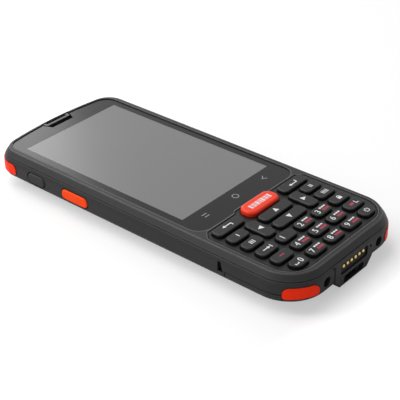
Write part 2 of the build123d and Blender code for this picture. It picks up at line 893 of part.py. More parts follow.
def usb_socket():
    """Charging and data socket: a metal shell with its tongue."""
    y0, y1 = usb_face_y(), usb_face_y() + usb_length
    place = Pos(0, usb_slot_z)
    shell = along_y(place * SlotOverall(usb_width, usb_height), y0, y1)
    inside = SlotOverall(usb_width - 2 * usb_shell, usb_height - 2 * usb_shell)
    shell -= along_y(place * inside, y0 - 1, y1 - usb_length + usb_tongue_length + 1)
    tongue = Rectangle(usb_tongue_width, usb_tongue_thickness)
    return shell + along_y(place * tongue, y0 + 1, y1)


def microphone():
    """Microphone behind its hole in the end wall."""
    y0 = body_end_y + side_wall
    return block(mic_x - mic_width / 2, mic_x + mic_width / 2, y0, y0 + mic_depth,
                 mic_z - mic_height / 2, mic_z + mic_height / 2)


def window_outline(grow):
    """Outline of the scan window."""
    return Pos(0, window_z) * RectangleRounded(window_width + 2 * grow, window_height + 2 * grow,
                                               window_corner_r + min(grow, 0) / 2)


def scan_window():
    """Dark window in the end wall in front of the scan engine."""
    front = body_top_y - window_recess
    return along_y(window_outline(0), front - window_thickness, front)


def scan_engine():
    """Barcode scan engine on its cradle behind the window."""
    y1 = body_top_y - side_wall - engine_end_gap
    top = engine_low_z + engine_height
    half = engine_width / 2
    engine = block(-half, half, y1 - engine_length, y1, engine_low_z, top)
    mid = engine_low_z + engine_height / 2
    return engine - block(-engine_aperture_width / 2, engine_aperture_width / 2,
                          y1 - engine_aperture_depth, y1 + 1, mid - engine_aperture_height / 2,
                          mid + engine_aperture_height / 2)


def camera_lens():
    """Cover glass of the rear camera."""
    return rod(camera_x, camera_y, camera_recess, camera_recess + camera_lens_thickness,
               camera_lens_r)


def camera_module():
    """Camera module on the floor of the rear shell."""
    half = camera_size / 2
    return block(camera_x - half, camera_x + half, camera_y - half, camera_y + half, floor_wall,
                 floor_wall + camera_height)


def flash_led():
    """Flash lens with the flange that seats it on the floor."""
    lens = rod(flash_x, flash_y, camera_recess, floor_wall, flash_r)
    return lens + rod(flash_x, flash_y, floor_wall, floor_wall + flash_flange_thickness,
                      flash_flange_r)


def loudspeaker():
    """Loudspeaker over its grille."""
    return Pos(speaker_x, speaker_y, floor_wall + speaker_height / 2) * Box(
        speaker_width, speaker_length, speaker_height)


def vibration_motor():
    """Coin motor on the floor of the rear shell."""
    return rod(motor_x, motor_y, floor_wall, floor_wall + motor_thickness, motor_r)


def pocket_slots():
    """The two slots of one cradle-lock pocket, sloped at their outer ends, on the +X side."""
    slots = []
    for end in (-1, 1):
        inner = pocket_y + end * pocket_half
        shape = Polygon((inner, pocket_low_z), (inner, pocket_high_z),
                        (inner + end * pocket_head, pocket_high_z),
                        (inner + end * pocket_foot, pocket_low_z), align=None)
        slots.append(along_x(shape, body_width / 2 - pocket_depth, body_width))
    return slots


def rear_openings():
    """Everything that is cut through the rear shell's walls from outside."""
    cuts = [contact_window(0, contact_face_y() + contact_block_depth)]
    slot = Pos(0, usb_slot_z) * SlotOverall(usb_slot_width, usb_slot_height)
    cuts.append(along_y(slot, body_end_y - boss_proud - 1, usb_face_y()))
    socket = Pos(0, usb_slot_z) * SlotOverall(usb_width + 2 * seat_gap, usb_height + 2 * seat_gap)
    cuts.append(along_y(socket, usb_face_y() - 0.5, usb_face_y() + usb_length))
    mic = Pos(mic_x, mic_z) * Circle(mic_hole_r)
    cuts.append(along_y(mic, body_end_y - 2, body_end_y + side_wall + 0.1))
    for side in (-1, 1):
        x = side * lanyard_x
        hole = Pos(x, lanyard_z) * Circle(lanyard_r)
        cuts.append(along_y(hole, body_end_y - 2, body_end_y + lanyard_depth))
        cuts.append(rod(x, body_end_y + lanyard_depth - lanyard_r, -1, lanyard_z, lanyard_r))
        for slot in pocket_slots():
            cuts.append(slot if side > 0 else mirrored(slot))
        hole = along_x(Pos(trigger_y, trigger_z) * pill(trigger_length, trigger_height, button_gap),
                       body_width / 2 - side_wall - 0.1, body_width)
        cuts.append(hole if side > 0 else mirrored(hole))
    cuts.append(mirrored(along_x(Pos(rocker_y, rocker_z) * pill(rocker_length, rocker_height,
                                                                button_gap),
                                 body_width / 2 - side_wall - 0.1, body_width)))
    front = body_top_y - window_recess
    cuts.append(along_y(window_outline(seat_gap), front - window_thickness, body_top_y + 1))
    cuts.append(along_y(window_outline(-window_lip), body_top_y - side_wall - 1, body_top_y))
    cuts.append(rod(camera_x, camera_y, -1, camera_recess + camera_lens_thickness,
                    camera_lens_r + seat_gap))
    cuts.append(rod(camera_x, camera_y, -1, floor_wall + 0.1, camera_bore_r))
    cuts.append(rod(flash_x, flash_y, -1, floor_wall + 0.1, flash_r + seat_gap))
    for n in range(grille_slots):
        y = speaker_y + grille_pitch * (n - (grille_slots - 1) / 2)
        slot = Pos(speaker_x, y) * SlotOverall(grille_slot_length, grille_slot_width)
        cuts.append(raised(slot, -1, floor_wall + 0.1))
    return cuts


def rear_shell():
    """Rear housing: walls, battery bay, tray for the modules, seats for what shows outside."""
    shell = outer_body() & block(-body_width, body_width, -2 * body_width, 2 * body_width, -1,
                                 split_z)
    shell += connector_boss()
    shell -= cover_zone(cover_gap) - core_form(side_wall + cover_gap, floor_wall + cover_gap,
                                               slope_wall + cover_gap)
    shell -= seam_groove()
    shell -= raised(outline(side_wall), board_seat_z, split_z + 1)
    room = core_form(side_wall, floor_wall, slope_wall)
    shell -= room & block(-body_width, body_width, tray_y, 2 * body_width, 0, split_z + 1)
    half = battery_width / 2 + battery_gap
    shell -= block(-half, half, battery_end_y - battery_gap, battery_top_y + battery_gap, -1,
                   board_seat_z - septum_thickness)
    engine_back = body_top_y - side_wall - engine_end_gap - engine_length
    shell += block(-engine_width / 2 + 1, engine_width / 2 - 1, engine_back + 1,
                   engine_back + engine_length - 1, floor_wall, engine_low_z)
    for x, y, _ in screw_places():
        if y > tray_y:
            shell += rod(x, y, floor_wall, board_seat_z + board_thickness, post_r)
    shell += lanyard_tunnels(0)
    shell -= rear_openings()
    shell -= bumper_seats()
    for side in (-1, 1):
        shell -= rod(side * cover_screw_x, cover_screw_y, 0,
                     cover_screw_recess + cover_screw_length + 0.5,
                     cover_screw_r + cover_screw_play)
    for x, y, seat in screw_places():
        shell -= rod(x, y, -1, seat, screw_head_r + seat_gap)
        shell -= rod(x, y, 0, split_z, screw_r + screw_gap)
    return shell


def all_parts():
    """Every node of the terminal, by name."""
    parts = {
        "front_shell": front_shell(),
        "rear_shell": rear_shell(),
        "keypad_frame": keypad_frame(),
        "touch_glass": touch_glass(),
        "lcd_module": lcd_module(),
        "earpiece_trim": earpiece_trim(),
        "earpiece_speaker": receiver_room(0),
        "keypad_membrane": keypad_membrane(),
        "keypad_board": keypad_board(),
        "main_board": main_board(),
        "battery_pack": battery_pack(),
        "battery_cover": battery_cover(),
        "cover_screw_left": cover_screw(-1),
        "cover_screw_right": cover_screw(1),
        "scan_window": scan_window(),
        "scan_engine": scan_engine(),
        "camera_lens": camera_lens(),
        "camera_module": camera_module(),
        "flash_led": flash_led(),
        "loudspeaker": loudspeaker(),
        "trigger_left": trigger(-1),
        "trigger_right": trigger(1),
        "volume_rocker": volume_rocker(),
        "contact_block": contact_block(),
        "charging_contacts": charging_contacts(),
        "usb_socket": usb_socket(),
        "microphone": microphone(),
        "case_screws": case_screws(),
        "side_switches": side_switches(),
        "vibration_motor": vibration_motor(),
        "key_scan": scan_key(),
    }
    for name, side_y, end_x, side in bumper_places():
        parts[name] = bumper(side_y, end_x, side)
    for name, x, y, width, height, side in key_layout():
        parts[name] = key(x, y, width, height, side)
    return parts


os.makedirs("parts", exist_ok=True)
for name, solid in all_parts().items():
    export_step(solid, f"parts/{name}.step")
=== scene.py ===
# %% [markdown]
# # A rugged barcode terminal
# The terminal lies on its back on a pale table. Its housing, keys, buttons and glass come ready
# made from the CAD frame, so this lesson is about everything that a solid can't say: the grain of
# moulded plastic, the print under the glass, the legends on the keys and the light that shows
# them.

# %% Load the frame
import json
import math
import bmesh
import bpy
from mathutils import Matrix, Vector

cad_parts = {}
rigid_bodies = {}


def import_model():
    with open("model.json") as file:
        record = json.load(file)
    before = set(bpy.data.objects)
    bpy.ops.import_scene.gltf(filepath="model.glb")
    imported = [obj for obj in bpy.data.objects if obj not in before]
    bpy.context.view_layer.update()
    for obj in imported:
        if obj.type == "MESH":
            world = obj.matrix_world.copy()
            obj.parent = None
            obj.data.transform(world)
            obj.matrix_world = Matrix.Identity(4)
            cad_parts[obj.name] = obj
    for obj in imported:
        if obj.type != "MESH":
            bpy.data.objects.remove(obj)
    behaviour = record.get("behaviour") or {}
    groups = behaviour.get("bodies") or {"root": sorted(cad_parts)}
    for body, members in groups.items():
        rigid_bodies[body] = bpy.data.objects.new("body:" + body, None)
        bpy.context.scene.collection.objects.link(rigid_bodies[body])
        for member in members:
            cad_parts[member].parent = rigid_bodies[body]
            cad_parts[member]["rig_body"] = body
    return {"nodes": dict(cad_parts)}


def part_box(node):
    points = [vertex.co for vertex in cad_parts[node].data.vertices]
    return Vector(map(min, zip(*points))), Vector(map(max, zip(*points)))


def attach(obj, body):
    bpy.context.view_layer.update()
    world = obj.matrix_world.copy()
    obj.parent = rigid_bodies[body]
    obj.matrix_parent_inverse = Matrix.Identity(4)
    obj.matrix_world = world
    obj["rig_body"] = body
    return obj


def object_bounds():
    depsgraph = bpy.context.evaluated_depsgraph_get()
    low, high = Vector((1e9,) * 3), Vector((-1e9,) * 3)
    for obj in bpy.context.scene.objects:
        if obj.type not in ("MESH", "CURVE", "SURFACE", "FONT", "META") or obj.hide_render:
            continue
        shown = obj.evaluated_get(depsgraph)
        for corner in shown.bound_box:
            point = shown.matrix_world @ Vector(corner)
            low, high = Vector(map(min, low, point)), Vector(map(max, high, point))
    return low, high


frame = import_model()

nodes = frame["nodes"]
node_body = {name: obj["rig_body"] for name, obj in nodes.items()}
cad_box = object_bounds()
print("nodes:", len(nodes), "box:", [round(v, 4) for v in (*cad_box[0], *cad_box[1])])

# %% [markdown]
# ## Camera
# A long lens from well back keeps the terminal's edges almost parallel, as in a catalogue
# picture. The camera could be turned with a constraint, but a direction turned into a rotation is
# plainer and has nothing left to evaluate. The small roll is the last turn about the line of
# sight.

# %% Camera
EYE = Vector((-0.2850, -0.25465, 0.2413))
LOOK_AT = Vector((-0.01090, -0.01578, 0.0155))
ROLL = math.radians(-0.935)
FOCAL_LENGTH_MM = 100.0
SENSOR_WIDTH_MM = 36.0
NEAREST_SEEN = 0.01

camera_data = bpy.data.cameras.new("camera")
camera_data.lens = FOCAL_LENGTH_MM
camera_data.sensor_width = SENSOR_WIDTH_MM
camera_data.clip_start = NEAREST_SEEN
camera = bpy.data.objects.new("camera", camera_data)
bpy.context.scene.collection.objects.link(camera)
camera.location = EYE
aim = (LOOK_AT - EYE).to_track_quat("-Z", "Y").to_matrix()
camera.rotation_mode = "QUATERNION"
camera.rotation_quaternion = (aim @ Matrix.Rotation(ROLL, 3, "Z")).to_quaternion()
bpy.context.scene.camera = camera
bpy.context.scene.view_settings.view_transform = "Standard"
print("camera distance:", round((LOOK_AT - EYE).length, 3), "m")

# %% [markdown]
# ## Helpers for nodes
# A finish is a net of nodes, and most of the work is to place a node and join it to the next. The
# calls for that are long, so a few short helpers stand in for them. Wherever a helper takes a
# number or a colour, it also takes the output of another node, and joins that instead.

# %% Node helpers
COLOUR_A, COLOUR_B, MIXED = 6, 7, 2    # places of the colour sockets of a Mix node


def new_material(name):
    """A node material, with its tree and its main shader."""
    material = bpy.data.materials.new(name)
    material.use_nodes = True
    tree = material.node_tree
    return material, tree, tree.nodes["Principled BSDF"]


def add(tree, kind, **values):
    """A node of one kind, with its plain properties and its named inputs set."""
    node = tree.nodes.new(kind)
    for key, value in values.items():
        if hasattr(node, key):
            setattr(node, key, value)
        else:
            node.inputs[key.replace("_", " ")].default_value = value
    return node


def feed(tree, socket, value):
    """Sets a socket to a value, or joins another node's output to it."""
    if isinstance(value, bpy.types.NodeSocket):
        tree.links.new(value, socket)
    else:
        socket.default_value = value


def calculated(tree, operation, *values, use_clamp=False):
    """Result of one operation on numbers."""
    node = add(tree, "ShaderNodeMath", operation=operation, use_clamp=use_clamp)
    for socket, value in zip(node.inputs, values):
        feed(tree, socket, value)
    return node.outputs[0]


def mapped(tree, factor, low, high, start=0.0, end=1.0):
    """Number that goes from low to high as a factor goes from start to end."""
    node = add(tree, "ShaderNodeMapRange")
    labels = ("Value", "From Min", "From Max", "To Min", "To Max")
    for label, value in zip(labels, (factor, start, end, low, high)):
        feed(tree, node.inputs[label], value)
    return node.outputs["Result"]


def mixed_colour(tree, factor, low, high):
    """Colour that goes from one to another by a factor."""
    mix = add(tree, "ShaderNodeMix", data_type="RGBA")
    feed(tree, mix.inputs[0], factor)
    for index, colour in ((COLOUR_A, low), (COLOUR_B, high)):
        feed(tree, mix.inputs[index], (*colour, 1) if isinstance(colour, tuple) else colour)
    return mix.outputs[MIXED]


def place_axes(tree):
    """The surface's own place, apart as X, Y and Z, in metres."""
    place = add(tree, "ShaderNodeTexCoord")
    axes = add(tree, "ShaderNodeSeparateXYZ")
    feed(tree, axes.inputs[0], place.outputs["Object"])
    return axes.outputs


print("node helpers:", [f.__name__ for f in (new_material, add, feed, calculated, mapped)])

# %% [markdown]
# ## Sky
# A studio sweep is a white surface that fills the picture. A white sky over a very large table
# does the same with less. It looks white to the camera, to mirrors and to glass, but lights matt
# surfaces at a lower level, so that the lamps still shape the object.

# %% Sky
SKY_LEVEL = 0.27


def make_sky():
    """White for what looks at it, dimmer for what it lights."""
    world = bpy.data.worlds.new("studio")
    world.use_nodes = True
    bpy.context.scene.world = world
    tree = world.node_tree
    background = tree.nodes["Background"]
    background.inputs["Color"].default_value = (1, 1, 1, 1)
    rays = add(tree, "ShaderNodeLightPath").outputs
    seen = calculated(tree, "MAXIMUM", rays["Is Camera Ray"], rays["Is Glossy Ray"])
    seen = calculated(tree, "MAXIMUM", seen, rays["Is Transmission Ray"])
    feed(tree, background.inputs["Strength"], mapped(tree, seen, SKY_LEVEL, 1.0))


make_sky()
print("sky lights at", SKY_LEVEL, "and is seen at 1")

# %% [markdown]
# ## Table
# The table is one large plane. Light finds it white. The camera finds a grey with a glow of its
# own, which add up to white in the open and lighten the shadow, and more so beyond the two ends
# of the terminal. A brighter lamp would do that too, but it would bleach the plastic. From below
# the table is see-through, because it would hide the back, and light within two millimetres of it
# passes, so that the back isn't black.

# %% Table top
FLOOR_COLOUR = (0.93, 0.93, 0.93)
FLOOR_SEEN = (0.56, 0.56, 0.56)
FLOOR_ROUGHNESS = 0.9
FLOOR_GLOW = (0.46, 0.75)
FLOOR_GLOW_RISE = (0.078, 0.100)
FLOOR_CLEAR_WITHIN = 0.002


def table_glow(tree, rays):
    """Light that only the camera sees, stronger beyond the two ends."""
    along = calculated(tree, "ABSOLUTE", place_axes(tree)["Y"])
    level = mapped(tree, along, *FLOOR_GLOW, *FLOOR_GLOW_RISE)
    glow = add(tree, "ShaderNodeEmission")
    strength = calculated(tree, "MULTIPLY", rays["Is Camera Ray"], level)
    feed(tree, glow.inputs["Strength"], strength)
    return glow.outputs[0]


def table_gone(tree, rays):
    """1 where light passes: from below, and to what lies close above."""
    side = add(tree, "ShaderNodeNewGeometry")
    near = calculated(tree, "LESS_THAN", rays["Ray Length"], FLOOR_CLEAR_WITHIN)
    return calculated(tree, "MAXIMUM", side.outputs["Backfacing"], near)


def table_top():
    """Matt white, with a glow for the camera, and see-through from below."""
    material, tree, shader = new_material("table_top")
    shader.inputs["Roughness"].default_value = FLOOR_ROUGHNESS
    shader.inputs["Specular IOR Level"].default_value = 0.0
    rays = add(tree, "ShaderNodeLightPath").outputs
    tone = mixed_colour(tree, rays["Is Camera Ray"], FLOOR_COLOUR, FLOOR_SEEN)
    feed(tree, shader.inputs["Base Color"], tone)
    lit = add(tree, "ShaderNodeAddShader")
    feed(tree, lit.inputs[0], shader.outputs[0])
    feed(tree, lit.inputs[1], table_glow(tree, rays))
    clear = add(tree, "ShaderNodeBsdfTransparent")
    surface = add(tree, "ShaderNodeMixShader")
    feed(tree, surface.inputs["Fac"], table_gone(tree, rays))
    feed(tree, surface.inputs[1], lit.outputs[0])
    feed(tree, surface.inputs[2], clear.outputs[0])
    feed(tree, tree.nodes["Material Output"].inputs["Surface"], surface.outputs[0])
    return material


white_top = table_top()
print("table top:", white_top.name)

# %% Table
FLOOR_SIZE = 6.0
FLOOR_DROP = 0.0001


def make_floor():
    """Square plane a tenth of a millimetre below the terminal's back."""
    mesh = bpy.data.meshes.new("table")
    square = bmesh.new()
    bmesh.ops.create_grid(square, x_segments=1, y_segments=1, size=FLOOR_SIZE / 2)
    square.to_mesh(mesh)
    square.free()
    mesh.materials.append(white_top)
    floor = bpy.data.objects.new("table", mesh)
    bpy.context.scene.collection.objects.link(floor)
    floor.location.z = cad_box[0].z - FLOOR_DROP
    return floor


table = make_floor()
print("table at", round(table.location.z * 1000, 2), "mm")

# %% [markdown]
# ## Lamps
# One broad lamp overhead does most of the work. Two smaller ones at the left light the long side,
# one from high up for the slope under the rim and one from low down for the wall with the
# buttons. The last stands beyond the earpiece end, and the glass mirrors it as a pale bloom on
# one corner of the display. Area lamps are used because their size sets how soft a shadow or a
# reflection is.

# %% Lamps
LAMPS = (
    # name, place in metres, what it points at, width, height, power in watts
    ("overhead", (-0.15, 0.45, 1.05), (0, 0, 0), 0.9, 0.9, 7.8),
    ("left_edge", (-0.66, 0.72, 0.74), (0, 0, 0), 0.5, 0.4, 4.6),
    ("front_left", (-1.05, 0.16, 0.42), (0, 0, 0), 0.6, 0.4, 1.6),
    ("far_end", (0.546, 0.985, 0.65), (0, 0.03, 0), 0.41, 0.60, 2.7),
)


def make_lamp(name, place, target, width, height, power):
    """A rectangular soft lamp turned towards a point."""
    data = bpy.data.lights.new(name, "AREA")
    data.shape = "RECTANGLE"
    data.size = width
    data.size_y = height
    data.energy = power
    lamp = bpy.data.objects.new(name, data)
    bpy.context.scene.collection.objects.link(lamp)
    lamp.location = place
    lamp.rotation_mode = "QUATERNION"
    lamp.rotation_quaternion = (Vector(target) - Vector(place)).to_track_quat("-Z", "Y")
    return lamp


lamps = [make_lamp(*row) for row in LAMPS]
print("lamps:", [lamp.name for lamp in lamps])

# %% [markdown]
# ## Shared effects
# Several finishes need the same effects, so each effect is a shader group that is built once.
#
# Injection moulds are eroded by sparks, which leaves a fine matt grain on the plastic. It could
# be a displacement, but at a fifth of a millimetre it is finer than any mesh, so it is a height
# for a bump.

# %% Mould grain group
COARSE_SHARE = 0.11    # scale of the tone's slow change, as a share of the grain's


def new_group(name, inputs, outputs):
    """An empty shader group with float inputs and outputs, and its two end nodes."""
    group = bpy.data.node_groups.new(name, "ShaderNodeTree")
    for label, value in inputs:
        socket = group.interface.new_socket(label, in_out="INPUT", socket_type="NodeSocketFloat")
        socket.default_value = value
    for label in outputs:
        group.interface.new_socket(label, in_out="OUTPUT", socket_type="NodeSocketFloat")
    return group, group.nodes.new("NodeGroupInput"), group.nodes.new("NodeGroupOutput")


def mould_grain_group():
    """Fine grain of a spark-eroded mould: a height and a tone, both about 0 to 1."""
    group, start, end = new_group("mould_grain", [("Grains per Metre", 4500.0)], ["Height", "Tone"])
    grains = start.outputs["Grains per Metre"]
    patches = calculated(group, "MULTIPLY", grains, COARSE_SHARE)
    place = add(group, "ShaderNodeTexCoord")
    fine = add(group, "ShaderNodeTexNoise", Detail=3.0, Roughness=0.6)
    coarse = add(group, "ShaderNodeTexNoise", Detail=2.0)
    for noise, scale, label in ((fine, grains, "Height"), (coarse, patches, "Tone")):
        feed(group, noise.inputs["Vector"], place.outputs["Object"])
        feed(group, noise.inputs["Scale"], scale)
        feed(group, end.inputs[label], noise.outputs["Fac"])
    return group


mould_grain = mould_grain_group()
print("group:", mould_grain.name)

# %% [markdown]
# Corners of a moulding are never quite sharp. Those that face up catch a thin highlight and those
# that face down lie in shade, and both are painted. The next group finds corners by comparing the
# true normal with a rounded one, tells the two kinds apart by the height of the rounded normal, and
# puts out a mask for each: the first for a painted highlight, the second for painted shade.

# %% Corner group
BEVEL_SAMPLES = 6
DOWNWARD_GAIN = -2.0


def soft_edge_group():
    """Masks that are 1 on corners that face up, and on those that face down."""
    group, start, end = new_group("soft_edge", [("Radius", 0.0003), ("Contrast", 18.0)],
                                  ["Up", "Down"])
    true = add(group, "ShaderNodeNewGeometry")
    rounded = add(group, "ShaderNodeBevel", samples=BEVEL_SAMPLES)
    feed(group, rounded.inputs["Radius"], start.outputs["Radius"])
    same = add(group, "ShaderNodeVectorMath", operation="DOT_PRODUCT")
    feed(group, same.inputs[0], true.outputs["Normal"])
    feed(group, same.inputs[1], rounded.outputs["Normal"])
    away = calculated(group, "SUBTRACT", 1.0, same.outputs["Value"])
    corner = calculated(group, "MULTIPLY", away, start.outputs["Contrast"], use_clamp=True)
    axes = add(group, "ShaderNodeSeparateXYZ")
    feed(group, axes.inputs[0], rounded.outputs["Normal"])
    lowered = calculated(group, "MULTIPLY", axes.outputs["Z"], DOWNWARD_GAIN)
    for facing, label in ((axes.outputs["Z"], "Up"), (lowered, "Down")):
        mask = calculated(group, "MULTIPLY", facing, corner, use_clamp=True)
        feed(group, end.inputs[label], mask)
    return group


soft_edge = soft_edge_group()
print("group:", soft_edge.name)

# %% [markdown]
# A gap between two pieces lies in shade. Light would darken it by itself in a finer render, but the
# gaps here are a fraction of a millimetre wide, so the shade is painted through a mask. It comes
# from ambient occlusion over a short reach. The flat back is left out of it, because the table
# hides all of that.

# %% Gap group
GAP_STARTS = 0.65      # share of open surroundings where a gap starts to darken
GAP_FULL = 0.30        # and where it is as dark as it gets
TABLE_FACING = (-0.98, -0.90)


def seam_group():
    """Mask for painted shade: 1 deep in the gap between two pieces, but 0 on what lies on the
    table.
    """
    group, start, end = new_group("seam", [("Reach", 0.0012)], ["Mask"])
    hidden = add(group, "ShaderNodeAmbientOcclusion", samples=8)
    feed(group, hidden.inputs["Distance"], start.outputs["Reach"])
    in_gap = mapped(group, hidden.outputs["AO"], 0.0, 1.0, GAP_STARTS, GAP_FULL)
    true = add(group, "ShaderNodeNewGeometry")
    axes = add(group, "ShaderNodeSeparateXYZ")
    feed(group, axes.inputs[0], true.outputs["Normal"])
    off_table = mapped(group, axes.outputs["Z"], 0.0, 1.0, *TABLE_FACING)
    feed(group, end.inputs["Mask"], calculated(group, "MULTIPLY", in_gap, off_table))
    return group


seam = seam_group()
print("group:", seam.name)

# %% [markdown]
# The last effect is what hands leave: broad faint patches where the finish is a little shinier.

# %% Handling group
PATCH_LEVELS = (0.35, 0.70)


def handling_group():
    """Broad patches of handling, 0 to 1, a few centimetres across."""
    group, start, end = new_group("handling", [("Patches per Metre", 45.0)], ["Mask"])
    place = add(group, "ShaderNodeTexCoord")
    cloud = add(group, "ShaderNodeTexNoise", Detail=4.0, Roughness=0.55, Distortion=0.6)
    feed(group, cloud.inputs["Vector"], place.outputs["Object"])
    feed(group, cloud.inputs["Scale"], start.outputs["Patches per Metre"])
    feed(group, end.inputs["Mask"], mapped(group, cloud.outputs["Fac"], 0.0, 1.0, *PATCH_LEVELS))
    return group


handling = handling_group()
print("groups:", [g.name for g in bpy.data.node_groups])

# %% [markdown]
# ## Moulded plastics
# The housing, the plate round the keys, the keys and the buttons are all moulded, and differ in
# colour, grain and shine. One function builds them, because the recipe is the same: a colour that
# varies a little with the grain, has a painted highlight on corners that face up and painted shade,
# nearly black, in gaps and on corners that face down, a roughness that drops on corners and where
# hands have been, and a normal that rounds the solid's sharp edges and then adds the grain.
#
# Even black plastic reflects white light from its skin, which would turn a painted gap grey.
# Metallic makes a reflection take the surface's own colour. So the places of painted shade get it,
# although nothing there is metal, and stay dark. So do the upper corners of the plate round the
# keys, which are painted black as the shade of grooves.

# %% Moulded plastic recipe
TONE_SHARE = 0.86    # darkest tone of the grain, as a share of the colour
# painted shade in gaps and on corners that face down takes this share of the colour
PAINTED_SHADE_SHARE = 0.1      # colour in a gap, as a share of the colour
HAND_SHARE = 0.5     # polish by hands, as a share of that on corners


def scaled(colour, share):
    """A colour made darker."""
    return tuple(share * c for c in colour)


def use_group(tree, group, **values):
    """A group placed in a material, with its inputs set by name."""
    node = tree.nodes.new("ShaderNodeGroup")
    node.node_tree = group
    for key, value in values.items():
        node.inputs[key.replace("_", " ")].default_value = value
    return node


def handled_roughness(tree, roughness, polish, corners):
    """Roughness that drops where hands have been, and more on corners."""
    hands = use_group(tree, handling)
    by_hand = mapped(tree, hands.outputs["Mask"], roughness, roughness - polish * HAND_SHARE)
    return calculated(tree, "SUBTRACT", by_hand, mapped(tree, corners, 0.0, polish))


def grained_normal(tree, height, depth, edge):
    """Normal that rounds sharp edges and then adds the grain."""
    rounded = add(tree, "ShaderNodeBevel", samples=BEVEL_SAMPLES)
    rounded.inputs["Radius"].default_value = edge
    bump = add(tree, "ShaderNodeBump", Strength=1.0, Distance=depth)
    feed(tree, bump.inputs["Height"], height)
    feed(tree, bump.inputs["Normal"], rounded.outputs["Normal"])
    return bump.outputs["Normal"]


def moulded(name, colour, edge_colour, roughness, grains=4500.0, depth=0.00002, edge=0.00025,
            polish=0.10, shine=0.25, corner_reach=0.0003, groove_shade=0.0):
    """Moulded plastic with painted highlight and shade. Depth is the grain's, edge the rounding,
    and the last two the reach of the painted corners and how much upper corners lose their
    reflection.
    """
    material, tree, shader = new_material(name)
    shader.inputs["Specular IOR Level"].default_value = shine
    grain = use_group(tree, mould_grain, Grains_per_Metre=grains)
    corners = use_group(tree, soft_edge, Radius=corner_reach)
    gaps = use_group(tree, seam)
    upper = corners.outputs["Up"]
    base = mixed_colour(tree, grain.outputs["Tone"], scaled(colour, TONE_SHARE), colour)
    # painted highlight on corners that face up; on the plate, painted shade of grooves instead
    with_corner_paint = mixed_colour(tree, upper, base, edge_colour)
    # painted shade in gaps and on corners that face down
    dark = calculated(tree, "MAXIMUM", gaps.outputs["Mask"], corners.outputs["Down"])
    shaded = mixed_colour(tree, dark, with_corner_paint, scaled(colour, PAINTED_SHADE_SHARE))
    # painted shade, and the plate's upper corners painted as the shade of grooves, keep no white
    # reflection through Metallic
    shineless = calculated(tree, "MAXIMUM", dark, mapped(tree, upper, 0.0, groove_shade))
    feed(tree, shader.inputs["Base Color"], shaded)
    feed(tree, shader.inputs["Metallic"], shineless)
    feed(tree, shader.inputs["Roughness"], handled_roughness(tree, roughness, polish, upper))
    feed(tree, shader.inputs["Normal"], grained_normal(tree, grain.outputs["Height"], depth, edge))
    return material


def dress(material, *names):
    """Gives CAD nodes a material through their objects' slots."""
    for name in names:
        obj = nodes[name]
        if not obj.material_slots:
            obj.data.materials.append(None)
        for slot in obj.material_slots:
            slot.link = "OBJECT"
            slot.material = material


print("moulded plastics use:", [g.name for g in (mould_grain, soft_edge, seam, handling)])

# %% Housing and keypad plate
CHARCOAL = (0.016, 0.016, 0.017)
# painted highlight on the housing's corners that face up
CHARCOAL_HIGHLIGHT = (0.130, 0.130, 0.133)
LOWER_HIGHLIGHT = (0.060, 0.060, 0.062)
PLATE_BLACK = (0.009, 0.009, 0.010)
# painted shade of the grooves round the plate, put on its corners that face up
GROOVE_SHADE = (0.001, 0.001, 0.001)

upper_housing = moulded("housing_plastic", CHARCOAL, CHARCOAL_HIGHLIGHT, 0.50, edge=0.0004,
                        corner_reach=0.0009)
# The lower housing is the same plastic as the upper; this copy only has a dimmer, narrower painted
# highlight.
lower_housing = moulded("lower_housing_plastic", CHARCOAL, LOWER_HIGHLIGHT, 0.50, edge=0.0004,
                        corner_reach=0.0004)
plate = moulded("keypad_plate_plastic", PLATE_BLACK, GROOVE_SHADE, 0.46, grains=6000,
                depth=0.00001, corner_reach=0.0009, groove_shade=1.0)

dress(upper_housing, "front_shell")
dress(lower_housing, "rear_shell", "battery_cover", "volume_rocker")
dress(plate, "keypad_frame")
print("housing finishes:", [m.name for m in (upper_housing, lower_housing, plate)])

# %% Keys, triggers and bumpers
# The paler colour that follows each one is a painted highlight on corners that face up.
KEY_BLACK = (0.008, 0.008, 0.0085)
KEY_HIGHLIGHT = (0.060, 0.060, 0.062)
SCAN_ORANGE = (0.95, 0.045, 0.012)
SCAN_HIGHLIGHT = (1.0, 0.16, 0.08)
TRIGGER_ORANGE = (1.0, 0.062, 0.0)
TRIGGER_HIGHLIGHT = (1.0, 0.15, 0.02)
BUMPER_RED = (1.0, 0.030, 0.002)
BUMPER_HIGHLIGHT = (1.0, 0.12, 0.05)

keycap = moulded("keycap_plastic", KEY_BLACK, KEY_HIGHLIGHT, 0.40, grains=7000, depth=0.000006)
scan_orange = moulded("scan_key_plastic", SCAN_ORANGE, SCAN_HIGHLIGHT, 0.34, grains=6000,
                      depth=0.000005)
trigger_orange = moulded("trigger_plastic", TRIGGER_ORANGE, TRIGGER_HIGHLIGHT, 0.42, grains=6000,
                         depth=0.000006, shine=0.10)
bumper_red = moulded("bumper_rubber", BUMPER_RED, BUMPER_HIGHLIGHT, 0.45, grains=5000,
                     depth=0.00001, edge=0.0005, shine=0.08)

keys = sorted(name for name in nodes if name.startswith("key_"))
dress(keycap, *(name for name in keys if name != "key_scan"))
dress(scan_orange, "key_scan")
dress(trigger_orange, "trigger_left", "trigger_right")
dress(bumper_red, *(name for name in nodes if name.startswith("bumper_")))
print("keys dressed:", len(keys))

# %% [markdown]
# ## Cover glass
# Under the glass lie a black printed border and the display, which is off and shows as a paler
# grey rectangle, because a display scatters light back and the ink does not. Real glass over
# separate layers would be truer in a close-up, but layers that touch face to face flicker in a
# renderer. So the glass is one glossy surface with the display masked by position, in the part's
# own metres.

